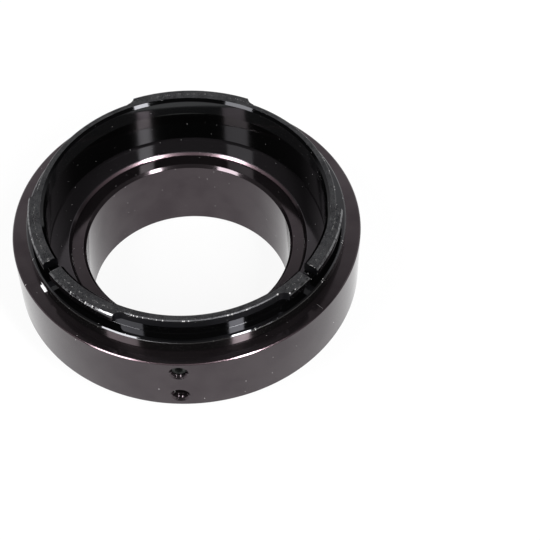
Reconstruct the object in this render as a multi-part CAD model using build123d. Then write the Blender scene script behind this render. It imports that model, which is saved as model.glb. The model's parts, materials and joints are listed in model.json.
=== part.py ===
from build123d import *
from math import cos, radians, sin
import os

# Lens mount adapter: a turned body that holds a bayonet mount ring on top and a plain lens tube below,
# each locked by three radial grub screws.
# The origin is the centre of the tube's lower end, and +Z runs along the optical axis to the bayonet.

# Lens tube
tube_bore = 25.4
tube_wall = 1.75
tube_length = 10.35
tube_drop = 5.8
tube_bore_break = 0.35
tube_rim_break = 0.2

# Bayonet mount ring
throat = 34.2
lip_break = 0.35
neck_wall = 1.05
neck_height = 2.4
neck_break = 0.12
skirt_wall = 1.5
skirt_gap = 0.28
flange_width = 1.28
flange_thickness = 1.68
flange_break = 0.28
lug_overhang = 0.82
lug_thickness = 1.2
lug_break = 0.2
relief_radius = 1.2
relief_depth = 0.06
slit_width = 1.5
slit_depth = 2.1

# First and last azimuth of each lug, and the middle of each slit, in degrees from +X
lug_spans = [(68.0, 113.3), (179.7, 246.7), (311.9, 356.2)]
slit_azimuths = [214.3, 324.2]

# Body
shoulder_width = 1.87
body_height = 8.18
pocket_depth = 3.15
body_break = 0.28
hole_break = 0.35

# Grub screws, spaced evenly from the front one
screw_places = ["front", "right", "left"]
screw_diameter = 2.0
socket_flats = 0.9
socket_depth = 0.9
cone_tip = 0.2
groove_depth = 0.55
ring_screw_drop = 1.76
ring_screw_recess = 0.5
tube_screw_rise = 1.96
tube_screw_recess = 1.8
mouth_break = 0.1

# Clearances
running_fit = 0.03
tip_clearance = 0.02
cut_margin = 1.0

# Radii that follow from the sizes above
bore_radius = tube_bore / 2
tube_radius = bore_radius + tube_wall
hole_radius = tube_radius + running_fit
throat_radius = throat / 2
skirt_radius = throat_radius + skirt_wall
pocket_radius = skirt_radius + running_fit
neck_radius = throat_radius + neck_wall
lug_radius = neck_radius + lug_overhang
flange_radius = neck_radius + flange_width
body_radius = flange_radius + shoulder_width
groove_radius = skirt_radius - groove_depth
screw_radius = screw_diameter / 2
ring_screw_tip = groove_radius + cone_tip + tip_clearance
tube_screw_tip = tube_radius + tip_clearance

# Azimuth of each pair of screws, in degrees from +X
screw_azimuths = {place: turn * 360 / len(screw_places) - 90 for turn, place in enumerate(screw_places)}

# Heights that follow from the sizes above
body_bottom = tube_drop
body_top = body_bottom + body_height
pocket_floor = body_top - pocket_depth
skirt_bottom = pocket_floor + skirt_gap
flange_top = body_top + flange_thickness
ring_top = flange_top + neck_height
lug_bottom = ring_top - lug_thickness
ring_screw_height = body_top - ring_screw_drop
tube_screw_height = body_bottom + tube_screw_rise


def turned(outline):
    """Revolve an outline of (radius, height, edge break) corners about the optical axis."""
    corners = [(radius, height) for radius, height, _ in outline]
    profile = make_face(Polyline(*corners, close=True))
    for radius, height, edge_break in outline:
        if edge_break:
            profile = chamfer(profile.vertices().sort_by_distance((radius, height))[0], edge_break)
    return revolve(Plane.XZ * profile, Axis.Z)


def radial(shape, azimuth, height):
    """Turn a shape made along +Z so that it points outwards at an azimuth and height."""
    return Pos(0, 0, height) * Rot(0, 0, azimuth) * Rot(0, 90, 0) * shape


def tapped_hole(inner_radius):
    """Cutter for a screw hole from inside the part's wall to past the outside, with a broken mouth."""
    wall = screw_radius + running_fit
    return turned([
        (0, inner_radius - cut_margin, 0),
        (wall, inner_radius - cut_margin, 0),
        (wall, body_radius - mouth_break, 0),
        (wall + mouth_break + cut_margin, body_radius + cut_margin, 0),
        (0, body_radius + cut_margin, 0),
    ])


def make_body():
    body = turned([
        (hole_radius, body_bottom, 0),
        (body_radius, body_bottom, body_break),
        (body_radius, body_top, body_break),
        (pocket_radius, body_top, 0),
        (pocket_radius, pocket_floor, 0),
        (hole_radius, pocket_floor, hole_break),
    ])
    for azimuth in screw_azimuths.values():
        body -= radial(tapped_hole(pocket_radius), azimuth, ring_screw_height)
        body -= radial(tapped_hole(hole_radius), azimuth, tube_screw_height)
    return body


def make_tube():
    return turned([
        (bore_radius, 0, tube_bore_break),
        (tube_radius, 0, tube_rim_break),
        (tube_radius, tube_length, 0),
        (bore_radius, tube_length, tube_bore_break),
    ])


def lug(first, last):
    """One bayonet lug: a stretch of the lug collar between two azimuths."""
    root_radius = (throat_radius + lip_break + neck_radius - neck_break) / 2
    collar = turned([
        (root_radius, lug_bottom, 0),
        (lug_radius, lug_bottom, 0),
        (lug_radius, ring_top, lug_break),
        (root_radius, ring_top, 0),
    ])
    arc = CenterArc((0, 0), body_radius, first, last - first)
    wedge = make_face(arc + Line((0, 0), arc @ 0) + Line(arc @ 1, (0, 0)))
    return collar & extrude(wedge, ring_top + cut_margin)


def relief(end_azimuth, side):
    """Cutter for the shallow hollow that a round milling cutter leaves in the neck beside a lug's end."""
    along = radians(end_azimuth)
    centre_radius = neck_radius - relief_depth + relief_radius
    x = centre_radius * cos(along) - side * relief_radius * sin(along)
    y = centre_radius * sin(along) + side * relief_radius * cos(along)
    height = lug_thickness + cut_margin
    return Pos(x, y, lug_bottom + height / 2) * Cylinder(relief_radius, height)


def slit(azimuth):
    """Cutter for a round-bottomed slit across a lug and the neck behind it."""
    length = lug_radius - throat_radius + 2 * cut_margin
    middle = (lug_radius + throat_radius) / 2
    bottom = ring_top - slit_depth + slit_width / 2
    height = ring_top + cut_margin - bottom
    walls = Pos(middle, 0, bottom + height / 2) * Box(length, slit_width, height)
    floor = Pos(middle, 0, bottom) * Rot(0, 90, 0) * Cylinder(slit_width / 2, length)
    return Rot(0, 0, azimuth) * (walls + floor)


def make_mount_ring():
    ring = turned([
        (throat_radius, skirt_bottom, 0),
        (skirt_radius, skirt_bottom, 0),
        (skirt_radius, ring_screw_height - groove_depth, 0),
        (groove_radius, ring_screw_height, 0),
        (skirt_radius, ring_screw_height + groove_depth, 0),
        (skirt_radius, body_top, 0),
        (flange_radius, body_top, 0),
        (flange_radius, flange_top, flange_break),
        (neck_radius, flange_top, 0),
        (neck_radius, ring_top, neck_break),
        (throat_radius, ring_top, lip_break),
    ])
    for first, last in lug_spans:
        ring += lug(first, last)
    for first, last in lug_spans:
        ring -= relief(first, -1)
        ring -= relief(last, 1)
    for azimuth in slit_azimuths:
        ring -= slit(azimuth)
    return ring


def grub_screw(tip_radius, recess, point):
    """A screw along +Z with its point at tip_radius and a hexagon socket in its outer end."""
    outer_end = body_radius - recess
    screw = turned([
        (0, tip_radius, 0),
        (screw_radius, tip_radius, point),
        (screw_radius, outer_end, 0),
        (0, outer_end, 0),
    ])
    hexagon = RegularPolygon(socket_flats / 2, 6, major_radius=False)
    return screw - Pos(0, 0, outer_end - socket_depth) * extrude(hexagon, socket_depth + cut_margin)


parts = {
    "adapter_body": make_body(),
    "lens_tube": make_tube(),
    "bayonet_mount_ring": make_mount_ring(),
}
for place, azimuth in screw_azimuths.items():
    cone_screw = grub_screw(ring_screw_tip, ring_screw_recess, screw_radius - cone_tip)
    flat_screw = grub_screw(tube_screw_tip, tube_screw_recess, 0)
    parts[f"ring_screw_{place}"] = radial(cone_screw, azimuth, ring_screw_height)
    parts[f"tube_screw_{place}"] = radial(flat_screw, azimuth, tube_screw_height)

os.makedirs("parts", exist_ok=True)
for name, part in parts.items():
    export_step(part, f"parts/{name}.step")
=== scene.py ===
import json
from collections import namedtuple
from math import atan2, ceil, cos, pi, radians, sin, tan, tau

import bmesh
import bpy
from bpy.props import FloatProperty, FloatVectorProperty, PointerProperty
from mathutils import Matrix, Vector


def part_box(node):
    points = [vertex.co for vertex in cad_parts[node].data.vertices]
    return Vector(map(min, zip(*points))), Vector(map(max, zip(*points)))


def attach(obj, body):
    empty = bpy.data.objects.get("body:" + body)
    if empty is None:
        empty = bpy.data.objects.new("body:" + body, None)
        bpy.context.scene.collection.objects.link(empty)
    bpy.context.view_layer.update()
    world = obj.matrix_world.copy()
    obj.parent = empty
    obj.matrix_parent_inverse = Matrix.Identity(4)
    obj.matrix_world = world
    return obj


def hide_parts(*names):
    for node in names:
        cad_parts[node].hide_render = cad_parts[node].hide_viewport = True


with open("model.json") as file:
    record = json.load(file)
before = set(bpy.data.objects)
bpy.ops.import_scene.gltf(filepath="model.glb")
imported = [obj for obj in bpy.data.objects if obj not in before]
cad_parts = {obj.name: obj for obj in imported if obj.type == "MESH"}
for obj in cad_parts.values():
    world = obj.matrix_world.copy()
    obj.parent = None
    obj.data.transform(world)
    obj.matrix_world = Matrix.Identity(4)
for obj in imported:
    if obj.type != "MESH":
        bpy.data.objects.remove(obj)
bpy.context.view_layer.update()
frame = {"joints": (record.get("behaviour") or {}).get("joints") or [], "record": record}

bl_info = {
    "name": "Lens mount adapter",
    "version": (1, 0, 0),
    "blender": (4, 5, 0),
    "location": "3D View > Sidebar > Adapter",
    "description": "Finished pieces, finishes and stage of a lens mount adapter",
    "category": "Object",
}

# Meshes are shaped in millimetres and scaled to metres when they are seated in the frame.
MM = 0.001
SCREW_PLACES = ("front", "right", "left")

# Fineness of the turned surfaces
TURN_STEPS = 360
THREAD_STEPS = 48
EDGE_ROUNDING = 0.03
ROUNDING_STEPS = 3
SHARP_ANGLE = radians(9)

# Room that keeps a cutter's faces clear of the faces beside them
CUT_MARGIN = 1.0
HAIR = 0.004

# Turns by which a thread is made too long before it is cut to length
SPARE_TURNS = 3

# Fineness of the milled forms, and the share of a slit's half width that rounds its floor
RELIEF_STEPS = 64
SLIT_STEPS = 12
SLIT_ROUNDING = 0.999

# Least part of a face's normal that points up on the bayonet's face, or outwards on a lug's rim
FACING_UP = 0.99
FACING_OUT = 0.5

# How the turned surfaces are laid out flat for their specks: the radius, and how much a step outwards counts
UNROLL_RADIUS = 20.0
UNROLL_SLANT = 1.6

# Specks in a loose grid: a cell's width, the largest speck and the share of the cells that hold one
Specks = namedtuple("Specks", "cell size share")
BODY_DUST = Specks(1.6, 0.12, 0.14)
RING_DUST = Specks(0.9, 0.11, 0.035)
MILLED_DUST = Specks(0.4, 0.08, 0.06)
# Burr specks along edges, partly painted edge glints
EDGE_BURRS_AND_GLINTS = Specks(0.35, 0.12, 0.1)
NECK_BURRS_AND_GLINTS = Specks(0.25, 0.16, 0.35)
SLIT_BURRS_AND_GLINTS = Specks(0.2, 0.18, 0.5)
RIM_BURRS_AND_GLINTS = Specks(0.22, 0.15, 0.3)
SMALLEST_SPECK = 0.3
SPECK_SOFTNESS = 0.02

# Soft noise: its scale, detail and roughness, and the two levels between which a mottle fades in
Noise = namedtuple("Noise", "scale detail roughness low high", defaults=(0.0, 1.0))
TURNING_LINES = Noise(5.0, 2.0, 0.5)
DYE_CLOUD = Noise(0.22, 4.0, 0.6, 0.35, 0.7)
SMEARS = Noise(0.4, 4.0, 0.6, 0.45, 0.75)
RIM_HIGHLIGHT_MOTTLE = Noise(2.0, 3.0, 0.5, 0.3, 0.6)
MILLED_GRAIN = Noise(11.0, 3.0, 0.65, 0.66, 0.34)
MILLED_PATCHES = Noise(0.8, 3.0, 0.6, 0.35, 0.7)
STEEL_GRAIN = Noise(9.0, 4.0, 0.6)
STEEL_WEAR = Noise(2.5, 3.0, 0.6, 0.45, 0.7)

# How metallic each finish is: a dark metal scatters little light, as a deep dye does
BROWN_METAL = 0.93
POCKET_METAL = 0.88
BLACK_METAL = 0.98
LIP_METAL = 0.83
MILLED_METAL = 0.97
STEEL_METAL = 0.8

# Roughness of each finish where it is cleanest, and how much rougher it is where something lies on it,
# painted highlights and glints included
BROWN_ROUGHNESS = 0.085
BLACK_ROUGHNESS = 0.04
MILLED_ROUGHNESS = 0.36
STEEL_ROUGHNESS = 0.3
CLOUD_ROUGHENS = 0.03
SMEAR_ROUGHENS = 0.02
BROWN_LINES_ROUGHEN = 0.02
BLACK_LINES_ROUGHEN = 0.015
EDGE_SHEEN_ROUGHENS = 0.1
RIM_HIGHLIGHT_ROUGHENS = 0.2
GRAIN_ROUGHENS = 0.2
MARKS_AND_GLINTS_ROUGHEN = 0.4

# Heights of the fine relief
LINE_HEIGHT = 0.0002
MILLED_GRAIN_HEIGHT = 0.006
STEEL_GRAIN_HEIGHT = 0.004

# How dark the milled faces get in patches and in their grain, and the normals of a wall that is darkest,
# where painted shade darkens the milled walls
PATCH_DEPTH = 0.3
GRAIN_DEPTH = 0.7
UPRIGHT_RISE = (0.8, 0.3)

# How far bands reach from the edges that they follow, the pocket's tone from its floor, and the lip's tone
# from its chamfer as a share of that
EDGE_BURR_AND_GLINT_REACH = 0.1
NECK_BURR_AND_GLINT_REACH = 0.12
SLIT_BURR_AND_GLINT_WIDTH = 0.1
RIM_BURR_AND_GLINT_REACH = 0.4
POCKET_TONE_REACH = 0.1
LIP_TONE_REACH = 1.2

# A scratch on the shoulder: its ends (x, y), its width and how much of it shows
SHOULDER_SCRATCH = ((15.82, -12.45), (16.52, -13.09))
SCRATCH_WIDTH = 0.05
SCRATCH_STRENGTH = 0.4

# A painted glint where the flange meets the shoulder, and its painted reflection on the shoulder: its
# azimuths, and its place and width on each of the two
PAINTED_GLINT_SPAN = (radians(-148.8), radians(-145.9))
PAINTED_GLINT_RISES = (0.2, 0.3)
FLANGE_GLINT_WIDTH = 0.8
SHOULDER_GLINT_OFFSET = 0.1
SHOULDER_GLINT_WIDTH = 0.4

# The stretch of the left lug's rim that is rough with burr specks and painted edge glints, and the angle
# over which it begins
BURR_AND_GLINT_SPAN = (radians(-136), radians(-113.5))
BURR_AND_GLINT_FADE = 0.1

# Painted glints: pale spots on the lugs' corners as (azimuth, radius), and how far across each is
GLINTS = (
    (radians(-47.9), 18.88),
    (radians(-45.3), 18.9),
    (radians(-51.6), 18.1),
    (radians(-113.6), 18.85),
)
GLINT_SIZE = 0.3

# The white backdrop: its soft side edges, its soft upper edges at the rear and all round, and the rest
REAR_SPREAD = (0.2, 0.8)
REAR_TOP = (0.83, 0.72)
LOW_TOP = (0.35, 0.2)
OVERHEAD_GLOW = 0.13
PAPER_WHITE = (0.9, 0.9, 0.9, 1)

# Nearest and farthest distance that the camera sees, in metres
CAMERA_CLIP = (0.001, 10)


def box_mm(node):
    """Lowest and highest corner of a node, in millimetres."""
    low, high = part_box(node)
    return low / MM, high / MM


BODY_LOW, BODY_HIGH = box_mm("adapter_body")
RING_LOW, RING_HIGH = box_mm("bayonet_mount_ring")
TUBE_LOW, TUBE_HIGH = box_mm("lens_tube")
MOUNTS = {mount["name"]: mount for mount in frame["record"]["mounts"]}
JOINT_AXES = {joint["child"]: joint["axis"] for joint in frame["joints"]}


def length(name, description, millimetres):
    """A length that a user may change."""
    return FloatProperty(
        name=name, description=description, default=millimetres * MM, unit="LENGTH", precision=5
    )


def span(name, description, first, last):
    """A stretch round the optical axis, from one azimuth to another in degrees."""
    return FloatVectorProperty(
        name=name, description=description, size=2, default=(radians(first), radians(last)), unit="ROTATION"
    )


def angle(name, description, degrees):
    """An angle that a user may change, in degrees here."""
    return FloatProperty(name=name, description=description, default=radians(degrees), subtype="ANGLE")


def colour(name, description, *value):
    """A colour that a user may change."""
    return FloatVectorProperty(
        name=name, description=description, size=3, default=value, subtype="COLOR", min=0, max=1
    )


def share(name, description, default):
    """A number from 0 to 1 that a user may change."""
    return FloatProperty(name=name, description=description, default=default, min=0, max=1, subtype="FACTOR")


class InMillimetres:
    """Reads the lengths of a property group in millimetres."""

    def __init__(self, group):
        self.group = group

    def __getattr__(self, name):
        return getattr(self.group, name) / MM


class BodySizes(bpy.types.PropertyGroup):
    radius: length("Radius", "Outer radius of the body", BODY_HIGH.x)
    bottom: length("Bottom", "Height of the lower face", BODY_LOW.z)
    top: length("Top", "Height of the shoulder", BODY_HIGH.z)
    edge_break: length("Edge break", "Chamfer on the outer edges", 0.15)
    pocket_radius: length("Pocket radius", "Radius of the ring's seat", 18.63)
    pocket_depth: length("Pocket depth", "Depth of the ring's seat under the shoulder", 3.15)
    hole_radius: length("Hole radius", "Radius of the tube's hole", TUBE_HIGH.x + 0.03)
    hole_break: length("Hole break", "Chamfer on the hole's upper edge", 0.35)
    mouth_break: length("Mouth break", "Countersink of the tapped holes", 0.15)


class RingSizes(bpy.types.PropertyGroup):
    throat_radius: length("Throat radius", "Inner radius of the ring", 17.1)
    bottom: length("Bottom", "Height of the skirt's lower end", RING_LOW.z)
    top: length("Top", "Height of the bayonet's face", RING_HIGH.z)
    lip_break: length("Lip break", "Chamfer on the throat's upper edge", 0.35)
    skirt_radius: length("Skirt radius", "Radius that sits in the body", 18.6)
    groove_depth: length("Groove depth", "Depth of the groove that the cone points hold", 0.55)
    flange_radius: length("Flange radius", "Outer radius of the flange", RING_HIGH.x)
    flange_bottom: length("Flange bottom", "Height of the flange's seat", BODY_HIGH.z)
    flange_top: length("Flange top", "Height of the flange's upper face", BODY_HIGH.z + 1.68)
    flange_break: length("Flange break", "Chamfer on the flange's upper edge", 0.17)
    seat_break: length("Seat break", "Chamfer on the flange's lower edge", 0.1)
    neck_radius: length("Neck radius", "Outer radius of the neck", 18.15)
    neck_break: length("Neck break", "Chamfer on the neck's upper edge", 0.12)
    lug_radius: length("Lug radius", "Outer radius of the bayonet lugs", 18.97)
    lug_thickness: length("Lug thickness", "Thickness of the bayonet lugs", 1.2)
    lug_break: length("Lug break", "Chamfer on the lugs' upper edge", 0.2)
    relief_radius: length("Relief radius", "Radius of the round corner beside a lug's end", 1.2)
    relief_depth: length("Relief depth", "How far a round corner cuts into the neck", 0.06)
    step_height: length("Step height", "Height of the fine step on the throat's wall", 15.65)
    throat_lean: angle("Throat lean", "Lean of the throat's wall under the step", 3.4)
    lip_lean: angle("Lip lean", "Lean of the throat's wall over the step", 6.4)
    flange_lean: angle("Flange lean", "Lean of the flange's outer wall", 5.0)
    slit_width: length("Slit width", "Width of the slits", 1.5)
    slit_depth: length("Slit depth", "Depth of the slits from the top", 2.1)


class LugPlaces(bpy.types.PropertyGroup):
    rear_lug: span("Rear lug", "First and last azimuth of the rear lug", 68.0, 113.3)
    left_lug: span("Left lug", "First and last azimuth of the left lug", 179.7, 246.7)
    right_lug: span("Right lug", "First and last azimuth of the right lug", 311.9, 356.2)
    left_slit: angle("Left slit", "Azimuth of the slit in the left lug", 214.3)
    right_slit: angle("Right slit", "Azimuth of the slit in the right lug", 324.2)


class TubeSizes(bpy.types.PropertyGroup):
    bore_radius: length("Bore radius", "Radius of the tube's bore", MOUNTS["lens_bore"]["dims"]["r_mm"])
    radius: length("Radius", "Outer radius of the tube", TUBE_HIGH.x)
    bottom: length("Bottom", "Height of the lower end", TUBE_LOW.z)
    top: length("Top", "Height of the upper end", TUBE_HIGH.z)
    bore_break: length("Bore break", "Chamfer on the bore's edges", 0.35)
    rim_break: length("Rim break", "Chamfer on the lower outer edge", 0.2)


class ScrewSizes(bpy.types.PropertyGroup):
    crest: length("Crest radius", "Outer radius of the screw's thread", 0.91)
    root: length("Root radius", "Inner radius of the screw's thread", 0.79)
    hole_crest: length("Hole crest", "Inner radius of the hole's thread", 0.93)
    hole_root: length("Hole root", "Outer radius of the hole's thread", 1.03)
    pitch: length("Pitch", "Pitch of the thread", 0.4)
    end_break: length("End break", "Chamfer on the outer end", 0.12)
    cone_tip: length("Cone tip", "Radius of the flat on a cone point", 0.2)
    socket_flats: length("Socket flats", "Width across the hexagon socket's flats", 0.9)
    socket_depth: length("Socket depth", "Depth of the hexagon socket", 0.9)


class Finishes(bpy.types.PropertyGroup):
    brown: colour("Brown", "Tone of the body's anodising", 0.067, 0.056, 0.061)
    # Painted highlight: paler, more reflective tone painted on the body's chamfers where reflections of the
    # lamps fall
    painted_sheen_brown: colour("Brown edge", "Tone of the chamfers, where the dye is thin", 0.21, 0.15, 0.17)
    pocket_brown: colour("Pocket brown", "Tone of the pocket's floor", 0.064, 0.058, 0.064)
    brown_deep: colour("Deep brown", "Tone where the dye took more", 0.053, 0.043, 0.048)
    black: colour("Black", "Tone of the ring's anodising", 0.050, 0.050, 0.053)
    # Painted highlight: paler tone painted along the lugs' outer chamfer
    painted_rim_grey: colour("Black edge", "Tone of the lugs' rubbed rims", 0.20, 0.20, 0.205)
    throat_black: colour("Throat black", "Tone of the throat's wall under its step", 0.029, 0.031, 0.030)
    lip_black: colour("Lip black", "Tone of the throat's wall over its step", 0.024, 0.025, 0.026)
    chamfer_black: colour("Chamfer black", "Tone of the throat's upper chamfer", 0.013, 0.013, 0.014)
    flange_black: colour("Flange black", "Tone of the flange's outer wall", 0.11, 0.107, 0.106)
    milled: colour("Milled black", "Dye on the milled faces", 0.096, 0.096, 0.1)
    # Also painted shade on the milled walls
    milled_deep_and_wall_shade: colour("Deep milled black", "Dye where it took more", 0.011, 0.011, 0.013)
    steel: colour("Steel", "Black oxide on the screws", 0.022, 0.024, 0.023)
    steel_worn: colour("Worn steel", "Steel where the oxide is thin", 0.05, 0.053, 0.051)
    # Pale tone of the dusty specks, also used for the painted edge glints and the painted glints on the
    # lugs' corners
    pale_specks: colour("Dust", "Specks of dust and burrs", 0.42, 0.41, 0.41)
    # Painted highlight: white of the painted glint on the flange and of its painted reflection on the
    # shoulder
    glint_white: colour("Bare metal", "Aluminium where the anodising is chipped", 0.92, 0.92, 0.93)


class StageSettings(bpy.types.PropertyGroup):
    camera_place: FloatVectorProperty(
        name="Camera place", description="Where the camera stands", size=3,
        default=(0.01165, -0.11306, 0.1463), subtype="TRANSLATION", unit="LENGTH", precision=5,
    )
    camera_tilt: angle("Camera tilt", "How far the camera is tipped up from straight down", 38.61)
    camera_turn: angle("Camera turn", "How far the camera is turned to the left", 0.748)
    focal_length: FloatProperty(
        name="Focal length", description="Focal length in millimetres", default=94.57, unit="CAMERA"
    )
    floor_size: FloatProperty(
        name="Floor size", description="Width of the floor", default=3.0, unit="LENGTH"
    )
    floor_white: share("Floor white", "How much of the floor's white the object can't shade", 0.89)
    strip_distance: FloatProperty(
        name="Strip distance", description="How far off the strip lights stand", default=0.3, unit="LENGTH"
    )
    strip_reach: span("Strip reach", "Lowest and highest elevation of the strip lights", 27, 60)
    strip_lean: angle("Strip lean", "How far the strip lights lean away from each other", 6.5)
    left_strip: span("Left strip", "First and last azimuth of the left strip light", -144.4, -122.6)
    left_radiance: FloatProperty(
        name="Left radiance", description="Brightness of the left strip light", default=16.0, min=0
    )
    right_strip: span("Right strip", "First and last azimuth of the right strip light", -58.9, -47.3)
    right_radiance: FloatProperty(
        name="Right radiance", description="Brightness of the right strip light", default=44.0, min=0
    )


def turned(outline, rounding=EDGE_ROUNDING, steps=TURN_STEPS):
    """A closed mesh turned about +Z from an outline of (radius, height, edge break) corners."""
    mesh = bmesh.new()
    corners = [mesh.verts.new((radius, 0, height)) for radius, height, _ in outline]
    mesh.faces.new(corners)
    for corner, (_, _, edge_break) in zip(corners, outline):
        if edge_break:
            break_corners(mesh, [corner], edge_break, 1)
    if rounding:
        break_corners(mesh, [vert for vert in mesh.verts if vert.co.x > 0], rounding, ROUNDING_STEPS)
    bmesh.ops.delete(mesh, geom=mesh.faces[:], context="FACES_ONLY")
    on_axis = [edge for edge in mesh.edges if all(vert.co.x == 0 for vert in edge.verts)]
    bmesh.ops.delete(mesh, geom=on_axis, context="EDGES")
    spin(mesh, tau, steps)
    bmesh.ops.remove_doubles(mesh, verts=mesh.verts[:], dist=HAIR / 10)
    bmesh.ops.recalc_face_normals(mesh, faces=mesh.faces[:])
    return mesh


def break_corners(mesh, corners, size, segments):
    """Cut or round corners of a flat outline."""
    bmesh.ops.bevel(
        mesh, geom=corners, offset=size, offset_type="OFFSET", affect="VERTICES",
        segments=segments, profile=0.5, material=-1,
    )


def spin(mesh, turn, steps, rise=0.0):
    """Sweep a mesh's edges about +Z, rising at each step where a rise is given."""
    bmesh.ops.spin(
        mesh, geom=mesh.verts[:] + mesh.edges[:], cent=(0, 0, 0), axis=(0, 0, 1),
        dvec=(0, 0, rise), angle=turn, steps=steps, use_merge=turn == tau,
    )


def swept(outline, first, last):
    """A closed mesh swept about +Z from one azimuth to another, with flat ends."""
    mesh = bmesh.new()
    mesh.faces.new([mesh.verts.new((radius, 0, height)) for radius, height in outline])
    bmesh.ops.delete(mesh, geom=mesh.faces[:], context="FACES_ONLY")
    bmesh.ops.rotate(mesh, verts=mesh.verts[:], cent=(0, 0, 0), matrix=Matrix.Rotation(first, 3, "Z"))
    spin(mesh, last - first, ceil((last - first) / tau * TURN_STEPS))
    bmesh.ops.holes_fill(mesh, edges=mesh.edges[:])
    bmesh.ops.recalc_face_normals(mesh, faces=mesh.faces[:])
    return mesh


def threaded(root, crest, pitch, start, end):
    """A closed rod along +Z with a helical thread on it, from one height to another."""
    mesh = bmesh.new()
    ridge = [(root, 0), (crest, pitch / 2), (root, pitch)]
    foot = start - (SPARE_TURNS - 1) * pitch
    points = [mesh.verts.new((radius, 0, foot + rise)) for radius, rise in ridge]
    for lower, upper in zip(points, points[1:]):
        mesh.edges.new((lower, upper))
    turns = ceil((end - start) / pitch) + SPARE_TURNS
    spin(mesh, tau * turns, THREAD_STEPS * turns, pitch / THREAD_STEPS)
    bmesh.ops.remove_doubles(mesh, verts=mesh.verts[:], dist=HAIR / 10)
    for height, side in ((start, -1), (end, 1)):
        everything = mesh.verts[:] + mesh.edges[:] + mesh.faces[:]
        bmesh.ops.bisect_plane(
            mesh, geom=everything, dist=HAIR / 100, plane_co=(0, 0, height), plane_no=(0, 0, side),
            clear_outer=True,
        )
    bmesh.ops.holes_fill(mesh, edges=mesh.edges[:])
    bmesh.ops.recalc_face_normals(mesh, faces=mesh.faces[:])
    return mesh


def prism(corners, depth):
    """A closed mesh along +Z from a flat outline of (x, y) corners."""
    mesh = bmesh.new()
    face = mesh.faces.new([mesh.verts.new((x, y, 0)) for x, y in corners])
    raise_face(mesh, face, depth)
    return mesh


def raise_face(mesh, face, depth):
    """Turn a flat face into a closed prism of that depth along +Z."""
    grown = bmesh.ops.extrude_face_region(mesh, geom=[face], use_keep_orig=True)
    lifted = [part for part in grown["geom"] if isinstance(part, bmesh.types.BMVert)]
    bmesh.ops.translate(mesh, verts=lifted, vec=(0, 0, depth))
    bmesh.ops.recalc_face_normals(mesh, faces=mesh.faces[:])


def cylinder(radius, bottom, top, x, y):
    """A closed upright cylinder."""
    mesh = bmesh.new()
    middle = Matrix.Translation((x, y, (bottom + top) / 2))
    bmesh.ops.create_cone(
        mesh, cap_ends=True, segments=RELIEF_STEPS, radius1=radius, radius2=radius, depth=top - bottom,
        matrix=middle,
    )
    return mesh


def moved(mesh, matrix):
    """The same mesh after a move."""
    bmesh.ops.transform(mesh, matrix=matrix, verts=mesh.verts[:])
    return mesh


def radial(azimuth, height):
    """The move that points a mesh made along +Z outwards at an azimuth and height."""
    across = Matrix.Rotation(pi / 2, 4, "Y")
    return Matrix.Translation((0, 0, height)) @ Matrix.Rotation(azimuth, 4, "Z") @ across


def joined(meshes):
    """One mesh that holds several that don't touch."""
    whole = bmesh.new()
    for mesh in meshes:
        part = bpy.data.meshes.new("part")
        mesh.to_mesh(part)
        mesh.free()
        whole.from_mesh(part)
        bpy.data.meshes.remove(part)
    return whole


def loose_object(mesh):
    """A passing object for a cut."""
    data = bpy.data.meshes.new("cut")
    mesh.to_mesh(data)
    mesh.free()
    item = bpy.data.objects.new("cut", data)
    bpy.context.scene.collection.objects.link(item)
    return item


def cut(base, *steps):
    """Take a base mesh through steps of (operation, tool mesh), and give the result."""
    block = loose_object(base)
    tools = []
    for operation, tool in steps:
        step = block.modifiers.new(operation, "BOOLEAN")
        step.operation = operation
        step.solver = "MANIFOLD"
        step.object = loose_object(tool)
        tools.append(step.object)
    result = bmesh.new()
    result.from_object(block, bpy.context.evaluated_depsgraph_get())
    for item in [block, *tools]:
        data = item.data
        bpy.data.objects.remove(item)
        bpy.data.meshes.remove(data)
    open_edges = [edge for edge in result.edges if len(edge.link_faces) != 2]
    if open_edges or not result.faces:
        raise RuntimeError(f"a cut left {len(open_edges)} open edges on {len(result.faces)} faces")
    return result


def seat(mesh, name, node, body, materials):
    """Make a mesh a finished piece that stands for a node and rides on its body."""
    bmesh.ops.scale(mesh, vec=(MM, MM, MM), verts=mesh.verts[:])
    data = bpy.data.meshes.new(name)
    mesh.to_mesh(data)
    mesh.free()
    data.shade_smooth()
    data.set_sharp_from_angle(angle=SHARP_ANGLE)
    for material in materials:
        data.materials.append(material)
    piece = bpy.data.objects.new(name, data)
    bpy.context.scene.collection.objects.link(piece)
    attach(piece, body)
    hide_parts(node)
    return piece


def screw_seat(kind, place):
    """A grub screw's azimuth, height, point radius and outer end radius, in millimetres and radians."""
    low, high = box_mm(f"{kind}_screw_front")
    axis = JOINT_AXES[f"{kind}_screw_{place}"]
    return atan2(axis[1], axis[0]), (low.z + high.z) / 2, -high.y, -low.y


class Wire:
    """A socket in a shader: sums on wires and numbers add the Math nodes that they need."""

    def __init__(self, graph, socket):
        self.graph = graph
        self.socket = socket

    def maths(self, operation, *values):
        return self.graph.node("ShaderNodeMath", {"operation": operation}, dict(enumerate(values)))

    def __add__(self, other):
        return self.maths("ADD", self, other)

    def __radd__(self, other):
        return self.maths("ADD", other, self)

    def __sub__(self, other):
        return self.maths("SUBTRACT", self, other)

    def __rsub__(self, other):
        return self.maths("SUBTRACT", other, self)

    def __mul__(self, other):
        return self.maths("MULTIPLY", self, other)

    def __rmul__(self, other):
        return self.maths("MULTIPLY", other, self)

    def __truediv__(self, other):
        return self.maths("DIVIDE", self, other)

    def __rtruediv__(self, other):
        return self.maths("DIVIDE", other, self)

    def __pow__(self, other):
        return self.maths("POWER", self, other)

    def __abs__(self):
        return self.maths("ABSOLUTE", self)

    def __gt__(self, other):
        return self.maths("GREATER_THAN", self, other)

    def larger(self, other):
        return self.maths("MAXIMUM", self, other)

    def smaller(self, other):
        return self.maths("MINIMUM", self, other)


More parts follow.
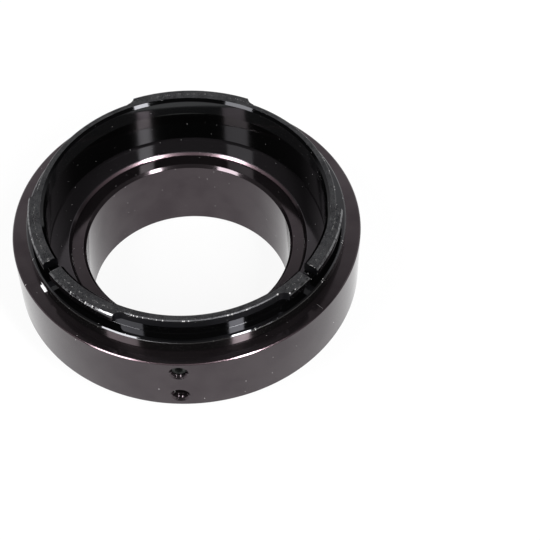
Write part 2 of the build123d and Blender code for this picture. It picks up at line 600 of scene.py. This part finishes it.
class Graph:
    """The node tree of one material or of the world."""

    def __init__(self, owner):
        owner.use_nodes = True
        self.tree = owner.node_tree
        self.tree.nodes.clear()

    def node(self, kind, settings=None, sockets=None, output=0):
        """Add a node, make its settings, fill its sockets with values or wires, and give an output."""
        item = self.tree.nodes.new(kind)
        for name, value in (settings or {}).items():
            setattr(item, name, value)
        for name, value in (sockets or {}).items():
            if isinstance(value, Wire):
                self.tree.links.new(value.socket, item.inputs[name])
            else:
                item.inputs[name].default_value = value
        return Wire(self, item.outputs[output]) if item.outputs else None

    def split(self, vector):
        """The three parts of a vector."""
        apart = self.node("ShaderNodeSeparateXYZ", sockets={"Vector": vector})
        return [Wire(self, socket) for socket in apart.socket.node.outputs]

    def join(self, x, y, z):
        """A vector from three values."""
        return self.node("ShaderNodeCombineXYZ", sockets={"X": x, "Y": y, "Z": z})

    def place(self):
        """The place on the piece, in millimetres."""
        here = self.node("ShaderNodeTexCoord", output="Object")
        scale = {0: here, "Scale": 1 / MM}
        return self.node("ShaderNodeVectorMath", {"operation": "SCALE"}, scale)

    def section(self, place):
        """Distance from the optical axis, and height."""
        x, y, z = self.split(place)
        return (x * x + y * y) ** 0.5, z

    def azimuth(self, place):
        """Angle round the optical axis."""
        x, y, _ = self.split(place)
        return y.maths("ARCTAN2", y, x)

    def unrolled(self, place):
        """The turned surfaces laid out flat: arc length one way, the way along the outline the other."""
        radius, z = self.section(place)
        return self.join(self.azimuth(place) * UNROLL_RADIUS, z + UNROLL_SLANT * radius, 0.0)

    def turning_lines(self, place):
        """Fine rings that a lathe tool leaves."""
        return self.noise(self.join(*self.section(place), 0.0), TURNING_LINES)

    def noise(self, vector, kind):
        """Soft noise from 0 to 1."""
        return self.node("ShaderNodeTexNoise", sockets={
            "Vector": vector, "Scale": kind.scale, "Detail": kind.detail, "Roughness": kind.roughness,
        })

    def mottle(self, vector, kind):
        """Patches from 0 to 1 that follow a kind of noise."""
        return self.smooth(self.noise(vector, kind), kind.low, kind.high)

    def smooth(self, value, low, high):
        """A soft step from 0 at one value to 1 at another."""
        sockets = {"Value": value, "From Min": low, "From Max": high}
        return self.node("ShaderNodeMapRange", {"interpolation_type": "SMOOTHSTEP"}, sockets)

    def mix(self, factor, first, second):
        """A colour between two colours."""
        sockets = {0: factor, 6: first, 7: second}
        return self.node("ShaderNodeMix", {"data_type": "RGBA"}, sockets, output=2)

    def specks(self, flat, kind):
        """Round specks of mixed sizes in a share of the cells of a loose flat grid."""
        sockets = {"Vector": flat, "Scale": 1 / kind.cell}
        away = self.node("ShaderNodeTexVoronoi", {"voronoi_dimensions": "2D"}, sockets)
        lot, growth, _ = self.split(Wire(self, away.socket.node.outputs["Color"]))
        reach = kind.size / kind.cell / 2 * (growth * (1 - SMALLEST_SPECK) + SMALLEST_SPECK)
        return self.smooth(away - reach, SPECK_SOFTNESS, -SPECK_SOFTNESS) * (lot > 1 - kind.share)

    def near_edge(self, place, edges, reach):
        """A band on both sides of turned edges, each given as (radius, height)."""
        radius, z = self.section(place)
        bands = 0.0
        for edge_radius, height in edges:
            out, up = radius - edge_radius, z - height
            band = self.smooth((out * out + up * up) ** 0.5, reach, reach / 2)
            bands = band.larger(bands)
        return bands

    def near_line(self, place, start, end, width):
        """A thin mark from one point to another."""
        gap = Vector(end) - Vector(start)
        course = gap.normalized()
        away = self.node("ShaderNodeVectorMath", {"operation": "SUBTRACT"}, {0: place, 1: start})
        along = self.node("ShaderNodeVectorMath", {"operation": "DOT_PRODUCT"}, {0: away, 1: course}, 1)
        foot_sockets = {0: course, "Scale": along.larger(0.0).smaller(gap.length)}
        foot = self.node("ShaderNodeVectorMath", {"operation": "SCALE"}, foot_sockets)
        off = self.node("ShaderNodeVectorMath", {"operation": "DISTANCE"}, {0: away, 1: foot}, 1)
        return self.smooth(off, width / 2, width / 4)

    def bump(self, height, distance):
        """A normal from a height, and the distance in millimetres that a height of 1 stands for."""
        return self.node("ShaderNodeBump", sockets={"Height": height, "Distance": distance * MM})

    def surface(self, shader):
        """Make a shader the material's surface."""
        self.node("ShaderNodeOutputMaterial", sockets={"Surface": shader})


def solid(value):
    """A colour socket's value from a colour property."""
    return (*value, 1.0)


def new_material(name):
    """A material and its graph."""
    material = bpy.data.materials.new(name)
    return material, Graph(material)


def painted_glint_ends(radius, height, rises=(0, 0)):
    """Both ends of the painted glint at a radius, each over a height by its own rise."""
    return [
        (radius * cos(azimuth), radius * sin(azimuth), height + rise)
        for azimuth, rise in zip(PAINTED_GLINT_SPAN, rises)
    ]


def glints(graph, place, top):
    """Painted glints: pale spots on the lugs' corners, at the height of the bayonet's face."""
    spots = 0.0
    for azimuth, radius in GLINTS:
        spot = (radius * cos(azimuth), radius * sin(azimuth), top)
        spots = graph.near_line(place, spot, spot, GLINT_SIZE).larger(spots)
    return spots


def slit_burrs_and_glints(graph, place, scene):
    """Burr specks, partly painted edge glints, along the upper edges of the slits."""
    ring = InMillimetres(scene.adapter_ring)
    half = ring.slit_width / 2
    edges = 0.0
    for azimuth in (scene.adapter_lugs.left_slit, scene.adapter_lugs.right_slit):
        turn = Matrix.Rotation(azimuth, 3, "Z")
        for side in (-half, half):
            start = turn @ Vector((ring.throat_radius, side, ring.top))
            end = turn @ Vector((ring.lug_radius, side, ring.top))
            edges = graph.near_line(place, start, end, SLIT_BURR_AND_GLINT_WIDTH).larger(edges)
    return edges * graph.specks(graph.unrolled(place), SLIT_BURRS_AND_GLINTS)


def throat_and_flange_lean(graph, place, scene, inside, flange_wall):
    """Height in millimetres that leans the throat's wall, in two stretches, and the flange's outer wall."""
    ring = InMillimetres(scene.adapter_ring)
    _, z = graph.section(place)
    lip = ring.top - ring.lip_break
    lower = (z.smaller(ring.step_height) - ring.step_height) * tan(scene.adapter_ring.throat_lean)
    upper = (z.larger(ring.step_height).smaller(lip) - lip) * tan(scene.adapter_ring.lip_lean)
    outer = (ring.flange_top - z) * tan(scene.adapter_ring.flange_lean)
    return (lower + upper) * inside + outer * flange_wall


def ring_burrs_and_glints(graph, place, ring, lug_rim):
    """Burr specks, partly painted edge glints, along the ring's turned edges and over the rough stretch of
    the left lug's rim.
    """
    flat = graph.unrolled(place)
    edges = [
        (ring.flange_radius - ring.flange_break, ring.flange_top),
        (ring.flange_radius, ring.flange_top - ring.flange_break),
        (ring.lug_radius, ring.top - ring.lug_break),
        (ring.throat_radius + ring.lip_break, ring.top),
    ]
    burrs_and_glints = graph.near_edge(place, edges, EDGE_BURR_AND_GLINT_REACH) * graph.specks(flat, EDGE_BURRS_AND_GLINTS)
    first, last = BURR_AND_GLINT_SPAN
    azimuth = graph.azimuth(place)
    burred_and_glinting = graph.smooth(azimuth, first, first + BURR_AND_GLINT_FADE) * (last - azimuth > 0.0)
    rim_burr_and_glint_band = graph.near_edge(place, [lug_rim], RIM_BURR_AND_GLINT_REACH) * burred_and_glinting
    return burrs_and_glints.larger(rim_burr_and_glint_band * graph.specks(flat, RIM_BURRS_AND_GLINTS))


def brown_anodising(scene):
    """Glossy brown-black anodising with turning lines, a cloudy dye, dusty specks, a scratch, painted
    highlights on its chamfers, and a painted glint with its painted reflection.
    """
    finishes = scene.adapter_finishes
    body = InMillimetres(scene.adapter_body)
    flange_radius = InMillimetres(scene.adapter_ring).flange_radius
    pocket = body.top - body.pocket_depth
    material, graph = new_material("brown_anodising")
    place = graph.place()
    _, y, _ = graph.split(place)
    radius, z = graph.section(place)
    lines = graph.turning_lines(place)
    cloud = graph.mottle(place, DYE_CLOUD)

    scratch_ends = [(*end, body.top) for end in SHOULDER_SCRATCH]
    scratch = graph.near_line(place, *scratch_ends, SCRATCH_WIDTH) * SCRATCH_STRENGTH
    # Painted reflection, on the shoulder, of the painted glint on the flange
    ends = painted_glint_ends(flange_radius + SHOULDER_GLINT_OFFSET, body.top)
    painted_glint = graph.near_line(place, *ends, SHOULDER_GLINT_WIDTH)
    pale_specks = graph.specks(graph.unrolled(place), BODY_DUST)
    marks_and_glints = pale_specks.larger(scratch).larger(painted_glint)

    # Painted highlights: the front of the outer top edge and the rear of the hole's chamfer take a paler,
    # more reflective tone
    rim = (body.radius - body.edge_break / 2, body.top - body.edge_break / 2)
    at_front = graph.smooth(y, -body.radius / 2, -body.radius)
    painted_rim_highlight = graph.near_edge(place, [rim], body.edge_break / 2) * at_front
    hole_edge = (body.hole_radius + body.hole_break / 2, pocket - body.hole_break / 2)
    at_rear = graph.smooth(y, body.radius / 5, body.radius / 2)
    # Painted highlight mask on the chamfers, not a thinner dye
    thin = (graph.near_edge(place, [hole_edge], body.hole_break) * at_rear).larger(painted_rim_highlight)
    on_floor = graph.smooth(abs(z - pocket), POCKET_TONE_REACH, POCKET_TONE_REACH / 2)
    in_pocket = on_floor * graph.smooth(radius, body.radius, body.pocket_radius)

    dye = graph.mix(cloud, solid(finishes.brown), solid(finishes.brown_deep))
    dye = graph.mix(thin, dye, solid(finishes.painted_sheen_brown))
    dye = graph.mix(in_pocket, dye, solid(finishes.pocket_brown))
    mark_and_glint_colour = graph.mix(painted_glint, solid(finishes.pale_specks), solid(finishes.glint_white))
    roughness = BROWN_ROUGHNESS + CLOUD_ROUGHENS * cloud + BROWN_LINES_ROUGHEN * lines
    graph.surface(graph.node("ShaderNodeBsdfPrincipled", sockets={
        "Base Color": graph.mix(marks_and_glints, dye, mark_and_glint_colour),
        "Metallic": (BROWN_METAL - (BROWN_METAL - POCKET_METAL) * in_pocket) * (1 - marks_and_glints),
        "Roughness": roughness + EDGE_SHEEN_ROUGHENS * thin + MARKS_AND_GLINTS_ROUGHEN * marks_and_glints,
        "Normal": graph.bump(lines, LINE_HEIGHT),
    }))
    return material


def black_anodising(scene):
    """Glossy black anodising with turning lines, smears, a stepped throat, burr specks partly painted as
    edge glints, painted glints on the lugs' corners, a painted highlight on the lugs' rims, dusty specks and
    a painted glint on the flange.
    """
    finishes = scene.adapter_finishes
    ring = InMillimetres(scene.adapter_ring)
    material, graph = new_material("black_anodising")
    place = graph.place()
    radius, z = graph.section(place)
    lines = graph.turning_lines(place)
    smear = graph.mottle(place, SMEARS)
    inside = graph.smooth(radius, ring.throat_radius + EDGE_ROUNDING, ring.throat_radius + HAIR)
    over_step = graph.smooth(z, ring.step_height - EDGE_ROUNDING, ring.step_height + EDGE_ROUNDING)
    flange_wall = graph.smooth(radius, ring.flange_radius - EDGE_ROUNDING, ring.flange_radius - HAIR)
    lean = throat_and_flange_lean(graph, place, scene, inside, flange_wall)

    lug_rim = (ring.lug_radius - ring.lug_break / 2, ring.top - ring.lug_break / 2)
    # Painted glints on the lugs' corners join the burr specks and their painted edge glints
    burrs_and_glints = ring_burrs_and_glints(graph, place, ring, lug_rim).larger(glints(graph, place, ring.top))
    pale_specks = graph.specks(graph.unrolled(place), RING_DUST).larger(burrs_and_glints)
    # Painted glint on the flange's outer wall where it meets the shoulder
    ends = painted_glint_ends(ring.flange_radius, ring.flange_bottom, PAINTED_GLINT_RISES)
    painted_glint = graph.near_line(place, *ends, FLANGE_GLINT_WIDTH)
    marks_and_glints = pale_specks.larger(painted_glint)

    throat = graph.mix(over_step, solid(finishes.throat_black), solid(finishes.lip_black))
    dye = graph.mix(flange_wall, solid(finishes.black), solid(finishes.flange_black))
    dye = graph.mix(inside, dye, throat)
    lip = (ring.throat_radius + ring.lip_break / 2, ring.top - ring.lip_break / 2)
    on_lip = graph.near_edge(place, [lip], ring.lip_break * LIP_TONE_REACH)
    dye = graph.mix(on_lip, dye, solid(finishes.chamfer_black))
    # Painted highlight: a paler, mottled band on the lugs' outer chamfer
    painted_rim_highlight = graph.near_edge(place, [lug_rim], ring.lug_break) * graph.mottle(place, RIM_HIGHLIGHT_MOTTLE)
    dye = graph.mix(painted_rim_highlight, dye, solid(finishes.painted_rim_grey))
    mark_and_glint_colour = graph.mix(painted_glint, solid(finishes.pale_specks), solid(finishes.glint_white))
    roughness = BLACK_ROUGHNESS + SMEAR_ROUGHENS * smear + BLACK_LINES_ROUGHEN * lines
    graph.surface(graph.node("ShaderNodeBsdfPrincipled", sockets={
        "Base Color": graph.mix(marks_and_glints, dye, mark_and_glint_colour),
        "Metallic": (BLACK_METAL - (BLACK_METAL - LIP_METAL) * inside * over_step) * (1 - marks_and_glints),
        "Roughness": roughness + RIM_HIGHLIGHT_ROUGHENS * painted_rim_highlight + MARKS_AND_GLINTS_ROUGHEN * marks_and_glints,
        "Normal": graph.bump(LINE_HEIGHT * lines + lean, 1.0),
    }))
    return material


def milled_black(scene):
    """Matt black of the faces that the milling cutter left, with grain, painted shade on its walls, burr
    specks partly painted as edge glints, painted glints on the lugs' corners and dusty specks.
    """
    finishes = scene.adapter_finishes
    ring = InMillimetres(scene.adapter_ring)
    material, graph = new_material("milled_black")
    place = graph.place()
    flat = graph.unrolled(place)
    grain = graph.noise(place, MILLED_GRAIN)
    neck_edge = (ring.neck_radius, ring.top - ring.neck_break / 2)
    # Burr specks on the neck's edge and the slits, partly painted edge glints, and painted glints on the
    # lugs' corners
    burrs_and_glints = graph.near_edge(place, [neck_edge], NECK_BURR_AND_GLINT_REACH) * graph.specks(flat, NECK_BURRS_AND_GLINTS)
    burrs_and_glints = burrs_and_glints.larger(slit_burrs_and_glints(graph, place, scene)).larger(glints(graph, place, ring.top))
    pale_specks = graph.specks(flat, MILLED_DUST).larger(burrs_and_glints)
    # Painted shade: walls whose normals lie flat take the darker milled colour
    _, _, rise = graph.split(graph.node("ShaderNodeNewGeometry", output="Normal"))
    upright = graph.smooth(rise, *UPRIGHT_RISE)
    patches = graph.mottle(place, MILLED_PATCHES)
    mottled = PATCH_DEPTH * patches + GRAIN_DEPTH * graph.mottle(place, MILLED_GRAIN)
    dye = graph.mix(mottled.larger(upright), solid(finishes.milled), solid(finishes.milled_deep_and_wall_shade))
    graph.surface(graph.node("ShaderNodeBsdfPrincipled", sockets={
        "Base Color": graph.mix(pale_specks, dye, solid(finishes.pale_specks)),
        "Metallic": MILLED_METAL * (1 - pale_specks),
        "Roughness": MILLED_ROUGHNESS + GRAIN_ROUGHENS * grain,
        "Normal": graph.bump(grain, MILLED_GRAIN_HEIGHT),
    }))
    return material


def black_steel(scene):
    """Oil-blacked steel of the grub screws."""
    finishes = scene.adapter_finishes
    material, graph = new_material("blacked_steel")
    place = graph.place()
    grain = graph.noise(place, STEEL_GRAIN)
    worn = graph.mottle(place, STEEL_WEAR)
    graph.surface(graph.node("ShaderNodeBsdfPrincipled", sockets={
        "Base Color": graph.mix(worn, solid(finishes.steel), solid(finishes.steel_worn)),
        "Metallic": STEEL_METAL,
        "Roughness": STEEL_ROUGHNESS + GRAIN_ROUGHENS * grain,
        "Normal": graph.bump(grain, STEEL_GRAIN_HEIGHT),
    }))
    return material


def material_named(name, make, context):
    """A finish that several pieces share, made when it is first needed."""
    return bpy.data.materials.get(name) or make(context.scene)


class ADAPTER_OT_turn_body(bpy.types.Operator):
    """Turn the body and tap its six screw holes"""

    bl_idname = "adapter.turn_body"
    bl_label = "Turn body"

    def execute(self, context):
        body = InMillimetres(context.scene.adapter_body)
        screw = InMillimetres(context.scene.adapter_screws)
        floor = body.top - body.pocket_depth
        blank = turned([
            (body.hole_radius, body.bottom, 0),
            (body.radius, body.bottom, body.edge_break),
            (body.radius, body.top, body.edge_break),
            (body.pocket_radius, body.top, 0),
            (body.pocket_radius, floor, 0),
            (body.hole_radius, floor, body.hole_break),
        ])
        threads = []
        mouths = []
        for kind, wall in (("ring", body.pocket_radius), ("tube", body.hole_radius)):
            for place in SCREW_PLACES:
                azimuth, height, _, _ = screw_seat(kind, place)
                inner, outer = wall - CUT_MARGIN, body.radius + CUT_MARGIN
                rod = threaded(screw.hole_crest, screw.hole_root, screw.pitch, inner, outer)
                threads.append(moved(rod, radial(azimuth, height)))
                flare = screw.hole_root + body.mouth_break + CUT_MARGIN
                cone = turned([
                    (0, body.radius - body.mouth_break - screw.hole_root, 0),
                    (flare, outer, 0),
                    (0, outer, 0),
                ], rounding=0, steps=THREAD_STEPS * 2)
                mouths.append(moved(cone, radial(azimuth, height)))
        mesh = cut(blank, ("DIFFERENCE", joined(threads)), ("DIFFERENCE", joined(mouths)))
        finish = material_named("brown_anodising", brown_anodising, context)
        seat(mesh, "turned_body", "adapter_body", "adapter", [finish])
        return {"FINISHED"}


class ADAPTER_OT_mill_mount_ring(bpy.types.Operator):
    """Turn the mount ring, then mill its lugs, reliefs and slits"""

    bl_idname = "adapter.mill_mount_ring"
    bl_label = "Mill mount ring"

    def execute(self, context):
        ring = InMillimetres(context.scene.adapter_ring)
        places = context.scene.adapter_lugs
        lugs = [tuple(lug) for lug in (places.rear_lug, places.left_lug, places.right_lug)]
        _, groove, _, _ = screw_seat("ring", "front")
        blank = turned([
            (ring.throat_radius, ring.bottom, 0),
            (ring.skirt_radius, ring.bottom, 0),
            (ring.skirt_radius, groove - ring.groove_depth, 0),
            (ring.skirt_radius - ring.groove_depth, groove, 0),
            (ring.skirt_radius, groove + ring.groove_depth, 0),
            (ring.skirt_radius, ring.flange_bottom, 0),
            (ring.flange_radius, ring.flange_bottom, ring.seat_break),
            (ring.flange_radius, ring.flange_top, ring.flange_break),
            (ring.neck_radius, ring.flange_top, 0),
            (ring.neck_radius, ring.top - ring.lug_thickness, 0),
            (ring.lug_radius, ring.top - ring.lug_thickness, 0),
            (ring.lug_radius, ring.top, ring.lug_break),
            (ring.throat_radius, ring.top, ring.lip_break),
        ])
        flare = ring.relief_radius / (ring.neck_radius - ring.relief_depth + ring.relief_radius)
        gaps = joined([
            self.gap(ring, lug[1] + flare, after[0] - flare)
            for lug, after in zip(lugs, lugs[1:] + lugs[:1])
        ])
        reliefs = joined([self.relief(ring, lug[end], (-1, 1)[end]) for lug in lugs for end in (0, 1)])
        slits = joined([self.slit(ring, azimuth) for azimuth in (places.left_slit, places.right_slit)])
        mesh = cut(blank, ("DIFFERENCE", gaps), ("DIFFERENCE", reliefs), ("DIFFERENCE", slits))
        self.mark_milled(mesh, ring)
        finishes = [
            material_named("black_anodising", black_anodising, context),
            material_named("milled_black", milled_black, context),
        ]
        seat(mesh, "milled_mount_ring", "bayonet_mount_ring", "bayonet", finishes)
        return {"FINISHED"}

    def gap(self, ring, first, last):
        """Cutter that takes the lug collar away between two lugs, down to the neck and its chamfer."""
        if last < first:
            last += tau
        wall = ring.neck_radius + HAIR
        above = ring.top + CUT_MARGIN
        below = ring.top - ring.lug_thickness - EDGE_ROUNDING
        return swept([
            (wall, below),
            (ring.lug_radius + CUT_MARGIN, below),
            (ring.lug_radius + CUT_MARGIN, above),
            (wall - ring.neck_break - CUT_MARGIN, above),
            (wall, ring.top - ring.neck_break),
        ], first, last)

    def relief(self, ring, azimuth, side):
        """Cutter for the round corner between a lug's end and the neck."""
        centre = ring.neck_radius - ring.relief_depth + ring.relief_radius
        aside = side * (ring.relief_radius - HAIR)
        x = centre * cos(azimuth) - aside * sin(azimuth)
        y = centre * sin(azimuth) + aside * cos(azimuth)
        below = ring.top - ring.lug_thickness - EDGE_ROUNDING - HAIR
        return cylinder(ring.relief_radius, below, ring.top + CUT_MARGIN, x, y)

    def slit(self, ring, azimuth):
        """Cutter for a round-bottomed slit across a lug."""
        half = ring.slit_width / 2
        bottom = ring.top - ring.slit_depth
        inside = ring.throat_radius - CUT_MARGIN
        outside = ring.lug_radius + CUT_MARGIN
        mesh = bmesh.new()
        above = ring.top + CUT_MARGIN
        corners = [(-bottom, -half), (-bottom, half), (-above, half), (-above, -half)]
        verts = [mesh.verts.new((x, y, 0)) for x, y in corners]
        mesh.faces.new(verts)
        break_corners(mesh, verts[:2], half * SLIT_ROUNDING, SLIT_STEPS)
        raise_face(mesh, mesh.faces[:][0], outside - inside)
        return moved(mesh, radial(azimuth, 0) @ Matrix.Translation((0, 0, inside)))

    def mark_milled(self, mesh, ring):
        """Give the bayonet's face, and the neck and lug ends beside it, the matt finish."""
        for face in mesh.faces:
            centre = face.calc_center_median()
            radius = centre.xy.length
            outward = face.normal.xy.dot(centre.xy) / radius
            on_top = face.normal.z > FACING_UP and centre.z > ring.top - HAIR
            over_underside = centre.z > ring.top - ring.lug_thickness
            beside = over_underside and ring.throat_radius < radius < ring.lug_radius
            on_lug_rim = outward > FACING_OUT and radius > ring.lug_radius - ring.lug_break - HAIR
            on_lip = radius < ring.throat_radius + ring.lip_break
            if on_top or beside and not on_lug_rim and not on_lip:
                face.material_index = 1


class ADAPTER_OT_turn_tube(bpy.types.Operator):
    """Turn the lens tube"""

    bl_idname = "adapter.turn_tube"
    bl_label = "Turn lens tube"

    def execute(self, context):
        tube = InMillimetres(context.scene.adapter_tube)
        mesh = turned([
            (tube.bore_radius, tube.bottom, tube.bore_break),
            (tube.radius, tube.bottom, tube.rim_break),
            (tube.radius, tube.top, 0),
            (tube.bore_radius, tube.top, tube.bore_break),
        ])
        finish = material_named("brown_anodising", brown_anodising, context)
        seat(mesh, "turned_tube", "lens_tube", "tube", [finish])
        return {"FINISHED"}


class ADAPTER_OT_fit_screws(bpy.types.Operator):
    """Make the six grub screws and fit them in their holes"""

    bl_idname = "adapter.fit_screws"
    bl_label = "Fit grub screws"

    def execute(self, context):
        screw = InMillimetres(context.scene.adapter_screws)
        finish = material_named("blacked_steel", black_steel, context)
        for kind, point in (("ring", screw.crest - screw.cone_tip), ("tube", screw.end_break)):
            for place in SCREW_PLACES:
                azimuth, height, tip, end = screw_seat(kind, place)
                mesh = moved(self.grub_screw(screw, tip, end, point), radial(azimuth, height))
                node = f"{kind}_screw_{place}"
                seat(mesh, f"{kind}_grub_screw_{place}", node, node, [finish])
        return {"FINISHED"}

    def grub_screw(self, screw, tip, end, point):
        """A grub screw along +Z with a pointed or flat tip and a hexagon socket."""
        rod = threaded(screw.root, screw.crest, screw.pitch, tip - HAIR, end + HAIR)
        blank = turned([
            (0, tip, 0),
            (screw.crest + HAIR, tip, point),
            (screw.crest + HAIR, end, screw.end_break),
            (0, end, 0),
        ], rounding=0, steps=THREAD_STEPS * 2)
        corner = screw.socket_flats / 2 / cos(pi / 6)
        hexagon = [(corner * cos(turn * tau / 6), corner * sin(turn * tau / 6)) for turn in range(6)]
        socket = prism(hexagon, screw.socket_depth + CUT_MARGIN)
        moved(socket, Matrix.Translation((0, 0, end - screw.socket_depth)))
        return cut(blank, ("INTERSECT", rod), ("DIFFERENCE", socket))


class ADAPTER_OT_set_stage(bpy.types.Operator):
    """Set the camera, the white floor, the backdrop and the lights"""

    bl_idname = "adapter.set_stage"
    bl_label = "Set stage"

    def execute(self, context):
        settings = context.scene.adapter_stage
        context.scene.view_settings.view_transform = "Standard"
        self.place_camera(context, settings)
        self.lay_floor(context, settings)
        self.hang_backdrop(context)
        self.place_strip(context, settings, "left_strip", settings.left_radiance, settings.strip_lean)
        self.place_strip(context, settings, "right_strip", settings.right_radiance, -settings.strip_lean)
        return {"FINISHED"}

    def place_camera(self, context, settings):
        lens = bpy.data.cameras.new("camera")
        lens.lens = settings.focal_length
        lens.clip_start, lens.clip_end = CAMERA_CLIP
        camera = bpy.data.objects.new("camera", lens)
        camera.location = settings.camera_place
        camera.rotation_euler = (settings.camera_tilt, 0, settings.camera_turn)
        context.scene.collection.objects.link(camera)
        context.scene.camera = camera

    def lay_floor(self, context, settings):
        """A floor that is white to the camera and in reflections, with the object's shadow on it."""
        mesh = bmesh.new()
        bmesh.ops.create_grid(mesh, x_segments=1, y_segments=1, size=settings.floor_size / 2)
        data = bpy.data.meshes.new("floor")
        mesh.to_mesh(data)
        mesh.free()
        floor = bpy.data.objects.new("floor", data)
        context.scene.collection.objects.link(floor)
        material, graph = new_material("white_floor")
        data.materials.append(material)
        path = graph.node("ShaderNodeLightPath").socket.node
        camera, glossy, through = (
            Wire(graph, path.outputs[ray])
            for ray in ("Is Camera Ray", "Is Glossy Ray", "Is Transmission Ray")
        )
        seen = camera.larger(glossy).larger(through)
        paper = graph.node("ShaderNodeBsdfDiffuse", sockets={"Color": PAPER_WHITE})
        white = graph.node("ShaderNodeEmission", sockets={"Strength": 1.0})
        unshaded = seen * settings.floor_white
        shade = graph.node("ShaderNodeMixShader", sockets={0: unshaded, 1: paper, 2: white})
        behind = graph.node("ShaderNodeNewGeometry", output="Backfacing") * camera
        clear = graph.node("ShaderNodeBsdfTransparent")
        graph.surface(graph.node("ShaderNodeMixShader", sockets={0: behind, 1: shade, 2: clear}))

    def hang_backdrop(self, context):
        """A world that is white low down all round and high up at the rear, and dark overhead."""
        world = bpy.data.worlds.new("studio")
        context.scene.world = world
        graph = Graph(world)
        x, y, z = graph.split(graph.node("ShaderNodeTexCoord", output="Generated"))
        level = (x * x + y * y) ** 0.5
        rear = graph.smooth(y / level, *REAR_SPREAD) * graph.smooth(z, *REAR_TOP)
        low = graph.smooth(z, *LOW_TOP)
        camera = graph.node("ShaderNodeLightPath", output="Is Camera Ray")
        glow = rear.larger(low).larger(OVERHEAD_GLOW).larger(camera)
        background = graph.node("ShaderNodeBackground", sockets={"Color": (1, 1, 1, 1), "Strength": glow})
        graph.node("ShaderNodeOutputWorld", sockets={"Surface": background})

    def place_strip(self, context, settings, name, radiance, lean):
        """A tall strip light that faces the optical axis and leans to one side."""
        first, last = getattr(settings, name)
        low, high = (settings.strip_distance * tan(elevation) for elevation in settings.strip_reach)
        light = bpy.data.lights.new(name, "AREA")
        light.shape = "RECTANGLE"
        light.size = 2 * settings.strip_distance * tan((last - first) / 2)
        light.size_y = high - low
        light.energy = radiance * pi * light.size * light.size_y
        azimuth = (first + last) / 2
        outward = Vector((cos(azimuth), sin(azimuth), 0))
        lamp = bpy.data.objects.new(name, light)
        lamp.location = outward * settings.strip_distance + Vector((0, 0, (low + high) / 2))
        upright = outward.to_track_quat("Z", "Y").to_matrix()
        lamp.rotation_euler = (upright @ Matrix.Rotation(lean, 3, "Z")).to_euler()
        lamp.visible_camera = False
        context.scene.collection.objects.link(lamp)


class ADAPTER_PT_pieces(bpy.types.Panel):
    """The adapter's pieces and stage"""

    bl_idname = "ADAPTER_PT_pieces"
    bl_label = "Lens mount adapter"
    bl_space_type = "VIEW_3D"
    bl_region_type = "UI"
    bl_category = "Adapter"

    def draw(self, context):
        for operator in OPERATORS:
            self.layout.operator(operator.bl_idname)
        for name, group in GROUPS.items():
            box = self.layout.box()
            for key in group.__annotations__:
                box.prop(getattr(context.scene, name), key)


GROUPS = {
    "adapter_body": BodySizes,
    "adapter_ring": RingSizes,
    "adapter_lugs": LugPlaces,
    "adapter_tube": TubeSizes,
    "adapter_screws": ScrewSizes,
    "adapter_finishes": Finishes,
    "adapter_stage": StageSettings,
}
OPERATORS = [
    ADAPTER_OT_turn_body,
    ADAPTER_OT_mill_mount_ring,
    ADAPTER_OT_turn_tube,
    ADAPTER_OT_fit_screws,
    ADAPTER_OT_set_stage,
]


def register():
    for item in [*GROUPS.values(), *OPERATORS, ADAPTER_PT_pieces]:
        bpy.utils.register_class(item)
    for name, group in GROUPS.items():
        setattr(bpy.types.Scene, name, PointerProperty(type=group))


def unregister():
    for name in GROUPS:
        delattr(bpy.types.Scene, name)
    for item in reversed([*GROUPS.values(), *OPERATORS, ADAPTER_PT_pieces]):
        bpy.utils.unregister_class(item)


def main():
    register()
    bpy.ops.adapter.turn_body()
    bpy.ops.adapter.mill_mount_ring()
    bpy.ops.adapter.turn_tube()
    bpy.ops.adapter.fit_screws()
    bpy.ops.adapter.set_stage()


if __name__ == "__main__":
    main()
